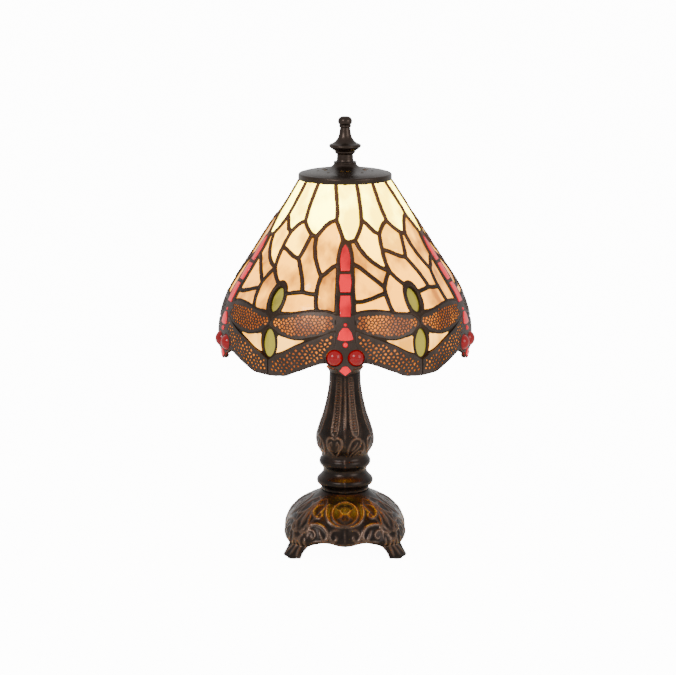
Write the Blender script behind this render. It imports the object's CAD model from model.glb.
# %% [markdown]
# # Stained glass table lamp
# A leaded shade with five dragonflies sits on a cast column with a footed base.
# The engineered model comes in as a fixed frame. This lesson dresses it: rounded
# solder, glowing glass, pierced metal wings and a rubbed bronze casting.

# %% load the frame
import bpy
import bmesh
import math
import random
from mathutils import Matrix, Vector
from mathutils.bvhtree import BVHTree


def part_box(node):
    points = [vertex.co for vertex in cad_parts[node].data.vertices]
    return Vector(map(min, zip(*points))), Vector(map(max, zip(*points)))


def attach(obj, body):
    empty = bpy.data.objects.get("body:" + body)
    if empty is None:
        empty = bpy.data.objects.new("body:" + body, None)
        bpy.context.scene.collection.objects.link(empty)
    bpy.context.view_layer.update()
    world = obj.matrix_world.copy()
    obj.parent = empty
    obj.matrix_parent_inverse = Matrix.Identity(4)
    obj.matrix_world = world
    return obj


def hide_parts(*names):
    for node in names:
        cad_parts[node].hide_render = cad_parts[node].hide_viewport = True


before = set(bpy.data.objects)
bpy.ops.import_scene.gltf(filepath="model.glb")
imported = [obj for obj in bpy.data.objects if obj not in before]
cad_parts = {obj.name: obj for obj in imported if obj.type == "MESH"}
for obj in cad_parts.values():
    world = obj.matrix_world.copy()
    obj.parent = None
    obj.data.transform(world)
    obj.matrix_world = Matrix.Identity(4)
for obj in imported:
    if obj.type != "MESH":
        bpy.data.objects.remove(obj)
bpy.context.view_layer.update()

SECTORS = 5
SECTOR = 2 * math.pi / SECTORS
MM = 0.001
rng = random.Random(7)

# %% [markdown]
# ## Small helpers
# Every dressed piece starts as a copy of an engineered one. A whole new mesh could
# be drawn instead, but a copy already fits its neighbours. Its loose triangles are
# merged first, because a modifier would pull them apart. Modifiers then round it,
# and are applied at once, so that the finished mesh is what everyone sees.

# %% helpers for copies and modifiers
def only(obj):
    """Select one object and nothing else."""
    bpy.ops.object.select_all(action="DESELECT")
    obj.select_set(True)
    bpy.context.view_layer.objects.active = obj


def copy_of(node, name):
    """A merged copy of an engineered node."""
    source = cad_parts[node]
    piece = bpy.data.objects.new(name, source.data.copy())
    bpy.context.scene.collection.objects.link(piece)
    piece.data.materials.clear()
    only(piece)
    bpy.ops.object.mode_set(mode="EDIT")
    bpy.ops.mesh.select_all(action="SELECT")
    bpy.ops.mesh.remove_doubles(threshold=0.00001)
    bpy.ops.object.mode_set(mode="OBJECT")
    return piece


def apply_modifier(piece, kind, **settings):
    """Add a modifier, set it and apply it."""
    modifier = piece.modifiers.new(kind.lower(), kind)
    for key, value in settings.items():
        setattr(modifier, key, value)
    only(piece)
    bpy.ops.object.modifier_apply(modifier=modifier.name)


def smooth_shade(piece, degrees):
    """Shade smoothly across every edge that turns less than an angle."""
    only(piece)
    bpy.ops.object.shade_smooth_by_angle(angle=math.radians(degrees))


def triangles_in(piece):
    """How many triangles a piece has, for the printed notes."""
    piece.data.calc_loop_triangles()
    return len(piece.data.loop_triangles)


def parted(piece):
    """Split a piece into its loose parts."""
    only(piece)
    bpy.ops.mesh.separate(type="LOOSE")
    return list(bpy.context.selected_objects)


def joined(parts, name):
    """Join pieces into the first of them, under one name."""
    bpy.ops.object.select_all(action="DESELECT")
    for part in parts:
        part.select_set(True)
    bpy.context.view_layer.objects.active = parts[0]
    if len(parts) > 1:
        bpy.ops.object.join()
    parts[0].name = name
    return parts[0]


def surface_of(piece):
    """A search tree for casting rays at a piece."""
    mesh = piece.data
    mesh.calc_loop_triangles()
    corners = [vertex.co.copy() for vertex in mesh.vertices]
    return BVHTree.FromPolygons(corners, [tuple(face.vertices) for face in mesh.loop_triangles])


# %% [markdown]
# ## Shader groups
# Three effects come back in several finishes: the warm light that climbs the shade
# from the bulb, the cloudy streaks of rolled glass, and a worn patina for metal.
# Their nodes could be laid out again in each material. A node group is built once
# instead, and each finish places it and feeds it its own values.

# %% helpers for node groups
def new_group(name, inputs, outputs):
    """An empty node group, with its number inputs and its outputs."""
    group = bpy.data.node_groups.new(name, "ShaderNodeTree")
    for label, value in inputs:
        socket = group.interface.new_socket(label, in_out="INPUT", socket_type="NodeSocketFloat")
        socket.default_value = value
    for label, kind in outputs:
        group.interface.new_socket(label, in_out="OUTPUT", socket_type=kind)
    return group, group.nodes.new("NodeGroupInput"), group.nodes.new("NodeGroupOutput")


def wire(tree, source, target):
    """Link an output socket to an input socket."""
    tree.links.new(source, target)


def noise_node(tree, scale, detail, rough=0.55, stretch=None):
    """Noise on object coordinates, stretched where the grain runs one way."""
    place = tree.nodes.new("ShaderNodeTexCoord")
    noise = tree.nodes.new("ShaderNodeTexNoise")
    noise.inputs["Scale"].default_value = scale
    noise.inputs["Detail"].default_value = detail
    noise.inputs["Roughness"].default_value = rough
    if stretch:
        mapping = tree.nodes.new("ShaderNodeMapping")
        mapping.inputs["Scale"].default_value = stretch
        wire(tree, place.outputs["Object"], mapping.inputs["Vector"])
        wire(tree, mapping.outputs["Vector"], noise.inputs["Vector"])
    else:
        wire(tree, place.outputs["Object"], noise.inputs["Vector"])
    return noise


def scaled_sum(tree, source, factor):
    """A math node that multiplies a value by a factor and adds its third input."""
    node = tree.nodes.new("ShaderNodeMath")
    node.operation = "MULTIPLY_ADD"
    node.inputs[1].default_value = factor
    wire(tree, source, node.inputs[0])
    return node


def ramp_node(tree, source, stops):
    """A colour ramp, with stops given as (place, (red, green, blue))."""
    ramp = tree.nodes.new("ShaderNodeValToRGB")
    ramp.color_ramp.elements[0].position = stops[0][0]
    ramp.color_ramp.elements[0].color = (*stops[0][1], 1)
    ramp.color_ramp.elements[1].position = stops[-1][0]
    ramp.color_ramp.elements[1].color = (*stops[-1][1], 1)
    for place, colour in stops[1:-1]:
        extra = ramp.color_ramp.elements.new(place)
        extra.color = (*colour, 1)
    wire(tree, source, ramp.inputs["Fac"])
    return ramp


# %% group: bulb glow by height
def build_height_glow():
    """0 at the hem and 1 under the cap, from the object's own height."""
    low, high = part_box("solder_network")[0][2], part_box("solder_network")[1][2]
    group, _, out = new_group("height_glow", [], [("Glow", "NodeSocketFloat")])
    place = group.nodes.new("ShaderNodeTexCoord")
    parts = group.nodes.new("ShaderNodeSeparateXYZ")
    span = group.nodes.new("ShaderNodeMapRange")
    span.inputs["From Min"].default_value = low
    span.inputs["From Max"].default_value = high
    wire(group, place.outputs["Object"], parts.inputs[0])
    wire(group, parts.outputs["Z"], span.inputs["Value"])
    wire(group, span.outputs["Result"], out.inputs["Glow"])
    return group


height_glow = build_height_glow()
print("group", height_glow.name)


# %% group: rolled glass streaks
def build_streaks():
    """Soft clouds and drawn streaks, moved by a pane's tone, with a fine ripple."""
    outputs = [("Cloud", "NodeSocketFloat"), ("Ripple", "NodeSocketFloat")]
    group, given, out = new_group("rolled_streaks", [("Tone", 0.5)], outputs)
    cloud = noise_node(group, 42.0, 2.5, 0.55, (1.0, 1.0, 0.55))
    streak = noise_node(group, 120.0, 3.0, 0.6, (1.0, 1.0, 0.18))
    blend = scaled_sum(group, streak.outputs["Fac"], 0.35)
    wire(group, cloud.outputs["Fac"], blend.inputs[2])
    contrast = scaled_sum(group, blend.outputs[0], 1.7)
    contrast.inputs[2].default_value = -0.5
    shift = scaled_sum(group, given.outputs["Tone"], 0.45)
    wire(group, contrast.outputs[0], shift.inputs[2])
    wire(group, shift.outputs[0], out.inputs["Cloud"])
    ripple = noise_node(group, 260.0, 2.0, 0.5)
    wire(group, ripple.outputs["Fac"], out.inputs["Ripple"])
    return group


rolled_streaks = build_streaks()
print("group", rolled_streaks.name)


# %% group: worn patina
def build_patina():
    """Patchy wear, low in the dark hollows and high where it is rubbed, with a grain."""
    outputs = [("Rub", "NodeSocketFloat"), ("Grain", "NodeSocketFloat")]
    group, given, out = new_group("worn_patina", [("Crest", 0.0)], outputs)
    patches = noise_node(group, 75.0, 4.0, 0.6)
    grain = noise_node(group, 900.0, 2.0, 0.6)
    rub = scaled_sum(group, patches.outputs["Fac"], 0.5)
    wire(group, given.outputs["Crest"], rub.inputs[2])
    wire(group, rub.outputs[0], out.inputs["Rub"])
    wire(group, grain.outputs["Fac"], out.inputs["Grain"])
    return group


worn_patina = build_patina()
print("group", worn_patina.name)

# %% [markdown]
# ## Glass finishes
# Opal glass scatters the bulb's light inside itself, so each pane glows with its
# own streaky colour. Simulating that scatter is slow and noisy, so the pane gives
# out the light it would pass on, and a glossy coat keeps the studio's reflections.

# %% helpers for materials
def new_material(name):
    """A material, its node tree and its Principled shader."""
    material = bpy.data.materials.new(name)
    material.use_nodes = True
    return material, material.node_tree, material.node_tree.nodes["Principled BSDF"]


def put_group(tree, group):
    """Place a node group in a material."""
    node = tree.nodes.new("ShaderNodeGroup")
    node.node_tree = group
    return node


def bump_from(tree, shader, height, strength, distance):
    """Roughen a shader's normal with a height value."""
    bump = tree.nodes.new("ShaderNodeBump")
    bump.inputs["Strength"].default_value = strength
    bump.inputs["Distance"].default_value = distance
    wire(tree, height, bump.inputs["Height"])
    wire(tree, bump.outputs["Normal"], shader.inputs["Normal"])


FULL_LIGHT = (1.0, 1.0, 1.0)


def multiply(tree, first, second):
    """The product of two colours."""
    mix = tree.nodes.new("ShaderNodeMix")
    mix.data_type = "RGBA"
    mix.blend_type = "MULTIPLY"
    mix.inputs["Factor"].default_value = 1.0
    wire(tree, first, mix.inputs["A"])
    wire(tree, second, mix.inputs["B"])
    return mix.outputs["Result"]


def lit_glass(name, dark, pale, strength, hem_light=FULL_LIGHT, rough=0.12, coat=0.4):
    """Opal glass lit from behind: cloud colours times the light at that height."""
    material, tree, shader = new_material(name)
    streaks = put_group(tree, rolled_streaks)
    tone = tree.nodes.new("ShaderNodeAttribute")
    tone.attribute_name = "tone"
    wire(tree, tone.outputs["Fac"], streaks.inputs["Tone"])
    clouds = ramp_node(tree, streaks.outputs["Cloud"], [(0.62, dark), (1.0, pale)])
    glow = put_group(tree, height_glow)
    light = ramp_node(tree, glow.outputs["Glow"], [(0.25, hem_light), (0.85, FULL_LIGHT)])
    lit = multiply(tree, clouds.outputs["Color"], light.outputs["Color"])
    wire(tree, clouds.outputs["Color"], shader.inputs["Base Color"])
    wire(tree, lit, shader.inputs["Emission Color"])
    shader.inputs["Emission Strength"].default_value = strength
    shader.inputs["Roughness"].default_value = rough
    shader.inputs["Coat Weight"].default_value = coat
    bump_from(tree, shader, streaks.outputs["Ripple"], 0.25, 0.0006)
    return material


# %% glass finishes
DIM_HEM = (0.6, 0.5, 0.4)
petal_finish = lit_glass("petal_opal", (0.60, 0.42, 0.006), (1.0, 0.88, 0.075), 14.0, DIM_HEM)
cream_finish = lit_glass("cream_opal", (0.50, 0.22, 0.002), (1.0, 0.56, 0.014), 8.5, DIM_HEM)
peach_finish = lit_glass("peach_opal", (0.34, 0.12, 0.001), (1.0, 0.42, 0.006), 5.0, (0.75, 0.65, 0.6))
tan_finish = lit_glass("tan_opal", (0.28, 0.085, 0.001), (0.95, 0.38, 0.006), 4.2, (0.9, 0.85, 0.8))
pale_finish = lit_glass("pale_opal", (0.55, 0.22, 0.004), (1.0, 0.48, 0.060), 3.4)
amber_finish = lit_glass("amber_glass", (0.26, 0.055, 0.001), (0.80, 0.21, 0.002), 1.3, rough=0.4, coat=0.0)
bulb_finish = lit_glass("frosted_bulb", (1.0, 0.80, 0.42), (1.0, 0.92, 0.66), 8.0, rough=0.3)
print("lit glass", len(bpy.data.materials), "finishes")

# %% [markdown]
# ## Jewels
# The dragonflies' eyes, beads, bodies and the ovals between the wings are thick
# pressed glass, far darker than the panes, because less light comes through. Real
# refraction would show only the dark metal behind them. So a deep and a bright
# colour follow the clouds, under a glassy coat, with a little light of their own.

# %% jewel finishes
def jewel_glass(name, deep, bright, strength):
    """Pressed glass, deep in one cloud and bright in the next."""
    material, tree, shader = new_material(name)
    streaks = put_group(tree, rolled_streaks)
    clouds = ramp_node(tree, streaks.outputs["Cloud"], [(0.35, deep), (0.85, bright)])
    wire(tree, clouds.outputs["Color"], shader.inputs["Base Color"])
    wire(tree, clouds.outputs["Color"], shader.inputs["Emission Color"])
    shader.inputs["Emission Strength"].default_value = strength
    shader.inputs["Roughness"].default_value = 0.06
    shader.inputs["Specular IOR Level"].default_value = 0.25
    shader.inputs["Coat Weight"].default_value = 0.3
    shader.inputs["Coat Roughness"].default_value = 0.02
    bump_from(tree, shader, streaks.outputs["Ripple"], 0.12, 0.0004)
    return material


ruby_finish = jewel_glass("ruby_glass", (0.28, 0.000, 0.004), (0.75, 0.001, 0.014), 0.8)
eye_finish = jewel_glass("eye_glass", (0.06, 0.000, 0.001), (0.26, 0.001, 0.003), 0.25)
olive_finish = jewel_glass("olive_glass", (0.022, 0.017, 0.001), (0.40, 0.33, 0.035), 0.45)
print("jewels", [finish.name for finish in (ruby_finish, eye_finish, olive_finish)])

# %% [markdown]
# ## Metals and mouldings
# The castings and the shade's metal are chemically darkened, and hands rub the
# high places bright again. The same patches, with other colours, also keep the
# plated, moulded and felt parts from looking flat. The wear could follow a mesh's
# sharp edges, but here it reads a crest value that is stored when relief is made.

# %% metal finishes
def metal(name, dark, rubbed, rough, metallic=0.75, crested=False, glow=None):
    """A patchy finish; a crest attribute brings high places up, and glow warms the top."""
    material, tree, shader = new_material(name)
    wear = put_group(tree, worn_patina)
    if crested:
        high = tree.nodes.new("ShaderNodeAttribute")
        high.attribute_name = "crest"
        wire(tree, high.outputs["Fac"], wear.inputs["Crest"])
    colour = ramp_node(tree, wear.outputs["Rub"], [(0.22, dark), (0.95, rubbed)])
    wire(tree, colour.outputs["Color"], shader.inputs["Base Color"])
    shader.inputs["Metallic"].default_value = metallic
    shader.inputs["Roughness"].default_value = rough
    bump_from(tree, shader, wear.outputs["Grain"], 0.25, 0.0003)
    if glow:
        light = put_group(tree, height_glow)
        halo = ramp_node(tree, light.outputs["Glow"], [(0.45, (0.0, 0.0, 0.0)), (0.95, glow)])
        wire(tree, halo.outputs["Color"], shader.inputs["Emission Color"])
        shader.inputs["Emission Strength"].default_value = 1.0
    return material


bronze_finish = metal("bronze_patina", (0.012, 0.008, 0.006), (0.115, 0.072, 0.050), 0.26, crested=True)
turned_bronze = metal("turned_bronze", (0.035, 0.023, 0.017), (0.10, 0.068, 0.050), 0.28)
solder_finish = metal("dark_solder", (0.035, 0.020, 0.012), (0.11, 0.070, 0.045), 0.42,
                      glow=(0.10, 0.032, 0.008))
plate_finish = metal("wing_plate", (0.055, 0.038, 0.030), (0.19, 0.145, 0.125), 0.42)
steel_finish = metal("plated_steel", (0.45, 0.43, 0.40), (0.62, 0.60, 0.56), 0.3, 1.0)
brass_finish = metal("spun_brass", (0.50, 0.34, 0.13), (0.78, 0.58, 0.28), 0.3, 1.0)
black_finish = metal("black_moulding", (0.012, 0.012, 0.012), (0.04, 0.04, 0.04), 0.5, 0.0)
felt_finish = metal("pressed_felt", (0.02, 0.018, 0.016), (0.06, 0.05, 0.045), 0.95, 0.0)
fibre_finish = metal("fibre_liner", (0.20, 0.11, 0.05), (0.34, 0.21, 0.11), 0.8, 0.0)
print("all finishes", len(bpy.data.materials))

# %% [markdown]
# ## Pieces that stay as engineered
# Fittings, turned parts and smooth jewels already have their true shape, so they
# keep the engineered mesh and only get a finish.

# %% finishes for the pieces that stay as engineered
def finish_nodes(material, *names):
    """Give engineered nodes a finish."""
    for name in names:
        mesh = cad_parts[name].data
        mesh.materials.clear()
        mesh.materials.append(material)
    print(material.name, "on", *names)


finish_nodes(felt_finish, "foot_pads", "base_felt")
finish_nodes(black_finish, "base_cover", "cord_bushing", "socket_body", "switch_knob", "bulb_tip")
finish_nodes(steel_finish, "threaded_rod", "base_washer", "base_nut", "column_nut")
finish_nodes(steel_finish, "harp_saddle", "harp_wire", "harp_ferrules", "harp_stud", "bulb_base")
finish_nodes(brass_finish, "socket_cap", "socket_shell", "screw_shell", "centre_contact")
finish_nodes(brass_finish, "top_ring", "filament_mount")
finish_nodes(fibre_finish, "socket_liner")
finish_nodes(bulb_finish, "bulb_glass")
finish_nodes(turned_bronze, "neck_cup", "vent_cap", "finial_seat_ring", "finial")
finish_nodes(eye_finish, "eye_cabochons")
finish_nodes(ruby_finish, "body_beads")
finish_nodes(olive_finish, "upper_oval_cabochons", "lower_oval_cabochons")
finish_nodes(plate_finish, "body_filigree")

# %% [markdown]
# ## Glass panes
# Each pane was cut from its own bit of sheet, and no two match. One pattern of
# noise over the whole shade would run on from pane to pane, as if it were painted.
# So each loose pane of a group gets a random tone, stored in its mesh, and its
# finish reads it. Wing glass is lifted nearer to the pierced plate, so that it
# shows between the veins, and red body glass gets ground edges.


def dress_panes(node, material, edge=None, lift=None):
    """Copy a group of panes, tone each one, and round or lift it where that is asked for."""
    panes = parted(copy_of(node, node + "_panes"))
    panes.sort(key=lambda pane: tuple(round(value, 4) for value in pane.data.vertices[0].co))
    for pane in panes:
        tone = pane.data.attributes.new("tone", "FLOAT", "POINT")
        tone.data.foreach_set("value", [rng.random()] * len(pane.data.vertices))
        if edge:
            apply_modifier(pane, "BEVEL", width=edge, segments=3, limit_method="ANGLE", angle_limit=0.9)
        if lift:
            apply_modifier(pane, "DISPLACE", strength=lift, mid_level=0.0)
    piece = joined(panes, node + "_panes")
    piece.data.materials.append(material)
    smooth_shade(piece, 35)
    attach(piece, "shade")
    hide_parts(node)
    print(piece.name, len(panes), "panes", triangles_in(piece), "triangles")


WING_LIFT = 0.0009
GROUND_EDGE = 0.0008
dress_panes("petal_glass", petal_finish)
dress_panes("cream_glass", cream_finish)
dress_panes("peach_glass", peach_finish)
dress_panes("tan_glass", tan_finish)
dress_panes("background_glass", pale_finish)
dress_panes("upper_wing_glass", amber_finish, lift=WING_LIFT)
dress_panes("lower_wing_glass", amber_finish, lift=WING_LIFT)
dress_panes("tail_glass", ruby_finish, edge=GROUND_EDGE)
dress_panes("thorax_glass", ruby_finish, edge=GROUND_EDGE)

# %% [markdown]
# ## Solder
# The real lines are molten solder that crowned up over copper foil. A bevel on the
# strips would break wherever several of them meet. A fine voxel remesh fuses them
# first, smoothing rounds them into beads, and displacement puts back their width
# and adds the unevenness of handwork. Nothing may swell past the skirt's rim.

# %% rounded solder beads
BEAD_VOXEL = 0.0006
BEAD_GROWTH = 0.00072
LUMP_HEIGHT = 0.0005
LUMP_LENGTH = 0.006
lumps = bpy.data.textures.new("solder_lumps", "CLOUDS")
lumps.noise_scale = LUMP_LENGTH
beads = copy_of("solder_network", "solder")
apply_modifier(beads, "REMESH", mode="VOXEL", voxel_size=BEAD_VOXEL)
apply_modifier(beads, "SMOOTH", factor=0.5, iterations=6)
apply_modifier(beads, "DISPLACE", strength=BEAD_GROWTH, mid_level=0.0)
apply_modifier(beads, "DISPLACE", strength=LUMP_HEIGHT, mid_level=0.5, texture=lumps)
skirt_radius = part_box("upper_wing_filigree")[1][1]
for vertex in beads.data.vertices:
    across = Vector((vertex.co.x, vertex.co.y, 0))
    if across.length > skirt_radius:
        vertex.co -= across.normalized() * (across.length - skirt_radius)
print("solder beads", triangles_in(beads), "triangles")

# %% [markdown]
# The fused solder has more triangles than one piece may have. Thinning it would
# spoil the round beads, so it is parted into five pieces, one round each dragonfly.

# %% one piece of solder for each dragonfly
def sector_of(place):
    """Which dragonfly's fifth of the shade a place is in."""
    turn = math.atan2(place.x, -place.y) % (2 * math.pi)
    return int((turn + SECTOR / 2) / SECTOR) % SECTORS


def keep_sector(source, index):
    """A copy of the network that keeps the faces of one sector."""
    piece = source.copy()
    piece.data = source.data.copy()
    piece.name = f"solder_{index + 1}"
    bpy.context.scene.collection.objects.link(piece)
    shape = bmesh.new()
    shape.from_mesh(piece.data)
    others = [face for face in shape.faces if sector_of(face.calc_center_median()) != index]
    bmesh.ops.delete(shape, geom=others, context="FACES")
    shape.to_mesh(piece.data)
    shape.free()
    return piece


for index in range(SECTORS):
    strip = keep_sector(beads, index)
    strip.data.materials.clear()
    strip.data.materials.append(solder_finish)
    smooth_shade(strip, 80)
    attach(strip, "shade")
    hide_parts("solder_network")
    print(strip.name, triangles_in(strip), "triangles")
bpy.data.objects.remove(beads)

# %% [markdown]
# ## Pierced wings
# The wings are thin etched plates, soldered over amber glass. Painted veins would
# look flat from the side, so real holes are cut. The veins leave cells like a
# cracked mosaic: each cell is all the points nearer to its own seed than to any
# other, drawn in by half a vein. One right wing is pierced with those cells, and
# its mirror image and turned copies make the other wings.

# %% cells of a mosaic
SCATTER = 0.28
ROW_SPACING = 0.87


def clipped(polygon, point, normal):
    """The part of a polygon behind a line."""
    kept = []
    for start, end in zip(polygon, polygon[1:] + polygon[:1]):
        first, last = (start - point).dot(normal), (end - point).dot(normal)
        if first <= 0:
            kept.append(start)
        if (first < 0 < last) or (last < 0 < first):
            kept.append(start.lerp(end, first / (first - last)))
    return kept


def mosaic(low, high, pitch, vein, stretch):
    """Irregular cells over a flat region, longer across than high by stretch."""
    reach = pitch * stretch
    seeds = []
    row, height = 0, low.y
    while height < high.y:
        across = low.x + (row % 2) * pitch * stretch / 2
        while across < high.x:
            seeds.append(Vector((across + rng.uniform(-SCATTER, SCATTER) * pitch * stretch,
                                 height + rng.uniform(-SCATTER, SCATTER) * pitch)))
            across += reach
        height += pitch * ROW_SPACING
        row += 1
    cells = []
    for seed in seeds:
        cell = [seed + Vector(corner) * reach for corner in ((-1, -1), (1, -1), (1, 1), (-1, 1))]
        for other in seeds:
            gap = other - seed
            if 0 < gap.length < 2.4 * reach:
                cell = clipped(cell, seed + gap * 0.5 - gap.normalized() * vein / 2, gap.normalized())
        if len(cell) > 2:
            cells.append(cell)
    return cells


# %% pierce one wing
WING_RADIUS = 0.096
CUT_OUTSIDE = 0.0022
CUT_INSIDE = -0.0035


def on_wing(place, search):
    """Where a flat place (arc length, height) meets the plate, or None, and the way out."""
    turn = place.x / WING_RADIUS
    out = Vector((math.sin(turn), -math.cos(turn), 0))
    hit = search.ray_cast(out * 0.14 + Vector((0, 0, place.y)), -out, 0.08)[0]
    return hit, out


def pierce(plate, pitch, vein, margin, stretch, shrink=1.0):
    """Cut mosaic cells through a plate, keeping a plain border."""
    search = surface_of(plate)
    turns = [math.atan2(vertex.co.x, -vertex.co.y) * WING_RADIUS for vertex in plate.data.vertices]
    heights = [vertex.co.z for vertex in plate.data.vertices]
    low, high = Vector((min(turns), min(heights))), Vector((max(turns), max(heights)))
    cells = mosaic(low, high, pitch, vein, stretch)
    shape = bmesh.new()
    used = 0
    for cell in cells:
        middle = sum(cell, Vector((0, 0))) / len(cell)
        cell = [middle + (corner - middle) * shrink for corner in cell]
        guard = [corner + (corner - middle).normalized() * margin for corner in cell]
        if any(on_wing(corner, search)[0] is None for corner in guard + [middle]):
            continue
        hit, out = on_wing(middle, search)
        rings = []
        for depth in (CUT_OUTSIDE, CUT_INSIDE):
            ring = []
            for corner in cell:
                turn = corner.x / WING_RADIUS
                radius = Vector((hit.x, hit.y)).length + depth
                ring.append(shape.verts.new((radius * math.sin(turn), -radius * math.cos(turn), corner.y)))
            rings.append(ring)
        outer, inner = rings
        shape.faces.new(outer)
        shape.faces.new(inner[::-1])
        for index in range(len(cell)):
            after = (index + 1) % len(cell)
            shape.faces.new((outer[index], inner[index], inner[after], outer[after]))
        used += 1
    bmesh.ops.recalc_face_normals(shape, faces=shape.faces)
    mesh = bpy.data.meshes.new("cells")
    shape.to_mesh(mesh)
    shape.free()
    punch = bpy.data.objects.new("cells", mesh)
    bpy.context.scene.collection.objects.link(punch)
    apply_modifier(plate, "BOOLEAN", operation="DIFFERENCE", solver="EXACT", object=punch)
    bpy.data.objects.remove(punch)
    print(plate.name, used, "cells", triangles_in(plate), "triangles")


def turned_copy(piece, turn, mirror=False):
    """A copy turned about the lamp's axis, or first mirrored left to right."""
    twin = piece.copy()
    twin.data = piece.data.copy()
    bpy.context.scene.collection.objects.link(twin)
    change = Matrix.Rotation(turn, 4, "Z")
    if mirror:
        change = change @ Matrix.Scale(-1, 4, (1, 0, 0))
    twin.data.transform(change)
    if mirror:
        twin.data.flip_normals()
    return twin


def turn_of(plate):
    """How many degrees a plate's middle is turned from the front."""
    corners = [vertex.co for vertex in plate.data.vertices]
    middle = sum(corners, Vector()) / len(corners)
    return math.degrees(math.atan2(middle.x, -middle.y))


def dress_wings(node, pitch, vein, margin, stretch, shrink):
    """Pierce the front dragonfly's right wing, and make all the others from it."""
    plates = parted(copy_of(node, node + "_pierced"))
    right = next(plate for plate in plates if 5 < turn_of(plate) < 31)
    for plate in plates:
        if plate is not right:
            bpy.data.objects.remove(plate)
    pierce(right, pitch, vein, margin, stretch, shrink)
    copies = [turned_copy(right, index * SECTOR, mirror)
              for index in range(SECTORS) for mirror in (False, True)]
    bpy.data.objects.remove(right)
    wings = joined(copies, node + "_pierced")
    wings.data.materials.append(plate_finish)
    smooth_shade(wings, 30)
    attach(wings, "shade")
    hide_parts(node)
    print(wings.name, triangles_in(wings), "triangles")


dress_wings("upper_wing_filigree", pitch=0.0021, vein=0.0007, margin=0.0013, stretch=1.5, shrink=1.0)
dress_wings("lower_wing_filigree", pitch=0.0026, vein=0.0012, margin=0.0016, stretch=1.5, shrink=0.82)

# %% [markdown]
# ## Ornament on the castings
# The castings carry scrolls, a cartouche on each face of the base, and ladder
# channels up the column. They could be sculpted, but drawn lines stay even and can
# be repeated. Each raised line is a bevelled curve laid on the casting by casting
# rays at it, thin at its ends. A voxel remesh melts the lines into the metal, and
# smoothing gives them a cast line's soft root.

# %% helpers for raised lines
def between(before, start, end, after, along):
    """A place on the curve from start to end, bent by the points on either side."""
    bend = 2 * before - 5 * start + 4 * end - after
    twist = 3 * start - before - 3 * end + after
    return 0.5 * (2 * start + (end - before) * along + bend * along ** 2 + twist * along ** 3)


def eased(points, steps=5):
    """Extra points on a smooth curve through the given ones."""
    if len(points) < 3:
        return [points[0].lerp(points[-1], step / steps) for step in range(steps + 1)]
    path = []
    ends = [points[0] * 2 - points[1]] + points + [points[-1] * 2 - points[-2]]
    for before, start, end, after in zip(ends, ends[1:], ends[2:], ends[3:]):
        path += [between(before, start, end, after, step / steps) for step in range(steps)]
    return path + [points[-1]]


def raised_line(points, thick, cast, taper=0.35):
    """One bevelled curve along a flat line, cast on to the metal."""
    places = [cast(point) for point in eased([Vector(point) for point in points])]
    places = [place for place in places if place is not None]
    if len(places) < 2:
        return None
    data = bpy.data.curves.new("raised", "CURVE")
    data.dimensions = "3D"
    data.bevel_depth = thick * MM
    data.bevel_resolution = 1
    data.use_fill_caps = True
    spline = data.splines.new("POLY")
    spline.points.add(len(places) - 1)
    for index, place in enumerate(places):
        along = index / (len(places) - 1)
        spline.points[index].co = (*place, 1)
        spline.points[index].radius = taper + (1 - taper) * math.sin(math.pi * along) ** 0.5
    line = bpy.data.objects.new("raised", data)
    bpy.context.scene.collection.objects.link(line)
    return line


def fuse(casting, lines, voxel, name, node):
    """Melt raised lines into a casting and mark how high each place stands."""
    plain = surface_of(casting)
    lines = [line for line in lines if line is not None]
    bpy.ops.object.select_all(action="DESELECT")
    for line in lines:
        line.select_set(True)
    bpy.context.view_layer.objects.active = lines[0]
    bpy.ops.object.convert(target="MESH")
    casting = joined([casting] + lines, name)
    apply_modifier(casting, "REMESH", mode="VOXEL", voxel_size=voxel)
    apply_modifier(casting, "SMOOTH", factor=0.5, iterations=2)
    heights = []
    for vertex in casting.data.vertices:
        place, normal, _, _ = plain.find_nearest(vertex.co)
        heights.append(max(0.0, min(1.0, (vertex.co - place).dot(normal) / (0.7 * MM))))
    crest = casting.data.attributes.new("crest", "FLOAT", "POINT")
    crest.data.foreach_set("value", heights)
    casting.data.materials.clear()
    casting.data.materials.append(bronze_finish)
    smooth_shade(casting, 80)
    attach(casting, "root")
    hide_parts(node)
    print(name, len(lines), "raised lines", triangles_in(casting), "triangles")


def both_sides(lines):
    """Lines and their mirror images, left to right."""
    return lines + [([(-across, height) for across, height in points], thick) for points, thick in lines]


# %% [markdown]
# ## Base
# Each of the four faces has the same scrolls round a cartouche, and each foot has
# an acanthus leaf. The lines are drawn in millimetres on a plane in front of one
# face and one corner, left half only, then mirrored and turned to the other three.

# %% base casting
base = copy_of("base_casting", "base_ornament")
base_search = surface_of(base)
LOOK_DOWN = math.radians(11.4)
BASE_VOXEL = 0.00065


def cast_on_face(turn):
    """A caster for drawings in front of one side of the base, seen from a little above."""
    ahead = Vector((0, math.cos(LOOK_DOWN), -math.sin(LOOK_DOWN)))
    up = Vector((0, math.sin(LOOK_DOWN), math.cos(LOOK_DOWN)))
    side = Matrix.Rotation(turn, 3, "Z")

    def cast(point):
        """The place on the base that a drawn point falls on, or None."""
        start = Vector((point.x * MM, 0, 0)) + up * point.y * MM - ahead * 0.2
        return base_search.ray_cast(side @ start, side @ ahead, 0.4)[0]
    return cast


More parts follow.
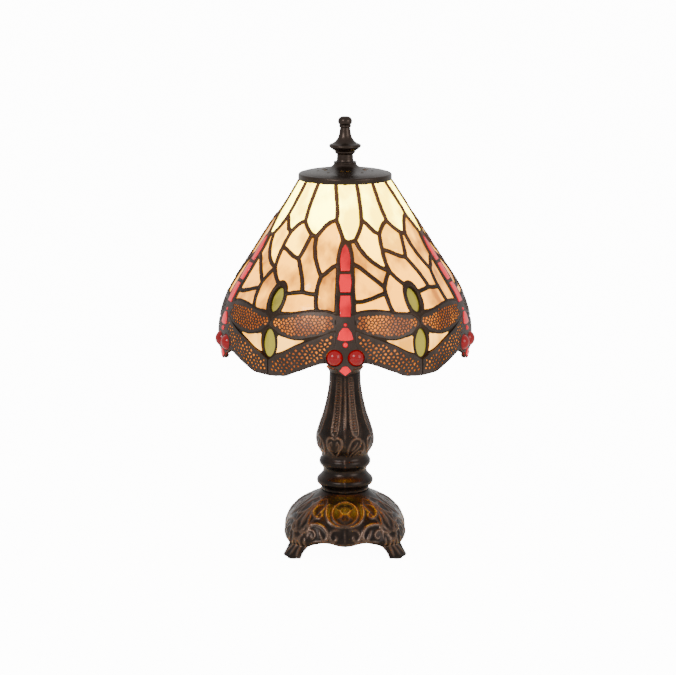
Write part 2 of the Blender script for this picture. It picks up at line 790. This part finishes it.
# each line is its points (across, height) and its half thickness
face_half = [
    ([(0, 15), (-6.1, 15.7), (-10.8, 18.4), (-14.2, 24), (-13.6, 29.6), (-11, 33)], 0.85),
    ([(-15.5, 32), (-20, 31), (-23.8, 27.6), (-23.2, 23.4), (-19.8, 22), (-17.6, 24.6), (-19.6, 27)], 0.75),
    ([(-32.8, 8), (-31.6, 14), (-26.7, 17.2), (-20.5, 17.4), (-15.4, 14.6), (-13.2, 10), (-14, 6.2),
      (-17, 5.8), (-18.6, 9.6), (-19.6, 13.6)], 0.85),
    ([(-29, 6.5), (-28.4, 11.8), (-24.6, 13), (-22.4, 9.6), (-24.6, 6.8), (-26.6, 9)], 0.65),
    ([(-3.6, 12.9), (-9.4, 12.6), (-11.9, 8), (-9.4, 4.6), (-6.2, 6.2), (-7, 9)], 0.7),
    ([(-26.5, 3.6), (-20, 4.6), (-12.2, 4), (-6.1, 2.4), (0, 1.9)], 0.6),
    ([(-11.5, 36.5), (-18.5, 34.6), (-25.5, 30.2), (-30, 24), (-34, 19)], 0.6),
    ([(-17, 37.8), (-24, 35), (-30.6, 30), (-35.4, 23.6), (-37.6, 18)], 0.55),
    ([(-35.6, 15.5), (-38.8, 10.5), (-37, 6), (-33.6, 7)], 0.75),
    ([(-6.4, 29.6), (-3, 25), (-6, 20.6)], 0.5),
    ([(-1.6, 30.4), (-3.6, 27.6), (-1.2, 24.6), (-3.4, 21.4), (-0.8, 18.6)], 0.5),
]
ring_points = [(9.7 * math.cos(math.radians(angle)), 25 + 8.6 * math.sin(math.radians(angle)))
               for angle in range(-90, 271, 30)]
face_middle = [(ring_points, 0.75), ([(0, 37), (0, 16)], 0.4), ([(0, 13), (0, 3)], 0.4)]
face_lines = both_sides(face_half) + face_middle

# the leaf on one foot, seen along the diagonal
corner_half = [
    ([(0, 33), (-2.6, 26), (-4.6, 19), (-7.4, 13), (-9.4, 9)], 0.8),
    ([(0, 9.6), (-4, 9), (-7.6, 10.6), (-8.6, 14), (-5.8, 15.6), (-4.2, 13.2)], 1.0),
    ([(-2.6, 6.5), (-3.4, 1), (-4.8, -5), (-6, -9)], 0.9),
    ([(-7, 6), (-8.4, 0), (-10.2, -6)], 0.7),
]
corner_middle = [([(0, 36), (0, 22), (0, 11)], 0.8), ([(0, 6), (0, -1), (0, -9)], 0.9)]
corner_lines = both_sides(corner_half) + corner_middle

base_raised = []
for quarter in range(4):
    face_cast = cast_on_face(quarter * math.pi / 2)
    corner_cast = cast_on_face((quarter + 0.5) * math.pi / 2)
    base_raised += [raised_line(points, thick, face_cast) for points, thick in face_lines]
    base_raised += [raised_line(points, thick, corner_cast) for points, thick in corner_lines]
fuse(base, base_raised, BASE_VOXEL, "base_ornament", "base_casting")

# %% [markdown]
# ## Column
# The column's ladder channels stand over hearts and curling leaves, in a pattern
# that comes round four times. A drawing wrapped round the axis follows its curve:
# across is degrees from the front, and up is the height in millimetres.

# %% drawings for the column
LADDER_LOW, LADDER_HIGH, RUNG = 93.0, 133.0, 2.0


def ladder(middle):
    """Two rails that meet in a point below, and the rungs between them."""
    rails = [([(middle + edge * 8.5, 134), (middle + edge * 8.5, 112), (middle + edge * 7.5, 93),
               (middle, 88.6)], 0.62) for edge in (-1, 1)]
    rungs = int((LADDER_HIGH - LADDER_LOW) / RUNG)
    heights = [LADDER_LOW + RUNG * rung for rung in range(rungs + 1)]
    return rails + [([(middle - 4.6, height), (middle + 4.6, height)], 0.42) for height in heights]


def heart(middle):
    """A heart under a ladder, with a curl inside each half."""
    lines = []
    for edge in (-1, 1):
        lines += [
            ([(middle, 86.4), (middle + edge * 6, 88), (middle + edge * 14, 87), (middle + edge * 16.5, 82.6),
              (middle + edge * 11, 77.4), (middle + edge * 3, 72.8)], 0.8),
            ([(middle + edge * 2, 76), (middle + edge * 8, 79), (middle + edge * 10.5, 83),
              (middle + edge * 6, 84.6), (middle + edge * 4.5, 81.6)], 0.55),
        ]
    return lines


def leaf(middle):
    """A leaf that curls over to one side."""
    return [
        ([(middle - 16, 73), (middle - 15, 80), (middle - 8, 86), (middle + 2, 87.6), (middle + 11, 86),
          (middle + 8, 81.6), (middle - 4, 76.6), (middle - 11, 72.6)], 0.75),
        ([(middle + 5, 84.6), (middle - 3, 81), (middle - 9, 77)], 0.65),
        ([(middle - 2, 72.6), (middle + 6, 76.4), (middle + 14, 77.6), (middle + 16, 74.6),
          (middle + 9, 74)], 0.7),
        ([(middle + 15, 86), (middle + 20, 81), (middle + 19, 75)], 0.8),
    ]


print("ladder, heart and leaf", len(ladder(0)), len(heart(0)), len(leaf(0)), "lines")

# %% column casting
column = copy_of("column_casting", "column_ornament")
column_search = surface_of(column)
COLUMN_VOXEL = 0.0005


def cast_on_column(point):
    """The place on the column that a point of a wrapped drawing falls on, or None."""
    turn = math.radians(point.x)
    out = Vector((math.sin(turn), -math.cos(turn), 0))
    return column_search.ray_cast(out * 0.1 + Vector((0, 0, point.y * MM)), -out, 0.1)[0]


column_raised = []
for quarter in range(4):
    front, half = 90.0 * quarter, 22.5
    lines = [([(front, 134), (front, 110), (front, 74)], 0.55)]
    lines += ladder(front - half) + ladder(front + half) + heart(front - half) + leaf(front + half)
    column_raised += [raised_line(points, thick, cast_on_column) for points, thick in lines]
    if quarter % 2 == 0:
        seam = [([(front, 71), (front, 66), (front, 62)], 0.35),
                ([(front, 55), (front, 51), (front, 46)], 0.35)]
        column_raised += [raised_line(points, thick, cast_on_column, 0.8) for points, thick in seam]
fuse(column, column_raised, COLUMN_VOXEL, "column_ornament", "column_casting")

# %% [markdown]
# ## Stage, light and camera
# A catalogue studio has white paper and broad soft lights. Lights alone would leave
# the paper grey or wash out the lamp, so the paper gives the camera a little light
# of its own, which the lamp doesn't receive. The camera stands a little above the
# shade, far back, with a long lens, so that the lamp keeps its true proportions.

# %% paper floor
def backdrop_paper(name, colour, lift):
    """Matt white paper that the camera sees a little overexposed, as in a catalogue."""
    material, tree, shader = new_material(name)
    paper = noise_node(tree, 3.0, 2.0)
    darker = tuple(0.98 * value for value in colour)
    tint = ramp_node(tree, paper.outputs["Fac"], [(0.0, darker), (1.0, colour)])
    wire(tree, tint.outputs["Color"], shader.inputs["Base Color"])
    shader.inputs["Roughness"].default_value = 0.9
    path = tree.nodes.new("ShaderNodeLightPath")
    exposure = tree.nodes.new("ShaderNodeMath")
    exposure.operation = "MULTIPLY"
    exposure.inputs[1].default_value = lift
    wire(tree, path.outputs["Is Camera Ray"], exposure.inputs[0])
    wire(tree, tint.outputs["Color"], shader.inputs["Emission Color"])
    wire(tree, exposure.outputs[0], shader.inputs["Emission Strength"])
    return material


bpy.ops.object.select_all(action="DESELECT")
bpy.ops.mesh.primitive_plane_add(size=30, location=(0, 0, 0))
floor = bpy.context.object
floor.name = "floor"
floor.data.materials.append(backdrop_paper("pale_floor", (0.93, 0.93, 0.92), 14.0))
print("floor", tuple(floor.dimensions))

# %% studio light
world = bpy.data.worlds.new("studio")
bpy.context.scene.world = world
world.use_nodes = True
world.node_tree.nodes["Background"].inputs["Color"].default_value = (1.0, 1.0, 1.0, 1)
world.node_tree.nodes["Background"].inputs["Strength"].default_value = 0.8


def soft_light(name, place, target, size, power):
    """A square soft light that faces a target."""
    data = bpy.data.lights.new(name, "AREA")
    data.size = size
    data.energy = power
    light = bpy.data.objects.new(name, data)
    bpy.context.scene.collection.objects.link(light)
    light.location = place
    light.rotation_euler = (Vector(target) - Vector(place)).to_track_quat("-Z", "Y").to_euler()


LAMP_MIDDLE = (0, 0, 0.15)
soft_light("key", (-0.9, -1.3, 1.1), LAMP_MIDDLE, 0.7, 14)
soft_light("fill", (1.2, -1.0, 0.7), LAMP_MIDDLE, 0.9, 8)
print("lights", [light.name for light in bpy.data.lights])

# %% camera
DISTANCE = 1.862
AIM_ACROSS, AIM_HEIGHT = -0.0053, 0.162
camera_data = bpy.data.cameras.new("camera")
camera_data.lens = 133.1
camera_data.sensor_width = 36
camera = bpy.data.objects.new("camera", camera_data)
bpy.context.scene.collection.objects.link(camera)
camera.location = (AIM_ACROSS, -DISTANCE, AIM_HEIGHT + DISTANCE * math.tan(LOOK_DOWN))
camera.rotation_euler = (math.pi / 2 - LOOK_DOWN, 0, 0)
bpy.context.scene.camera = camera
print("camera", tuple(round(value, 3) for value in camera.location))
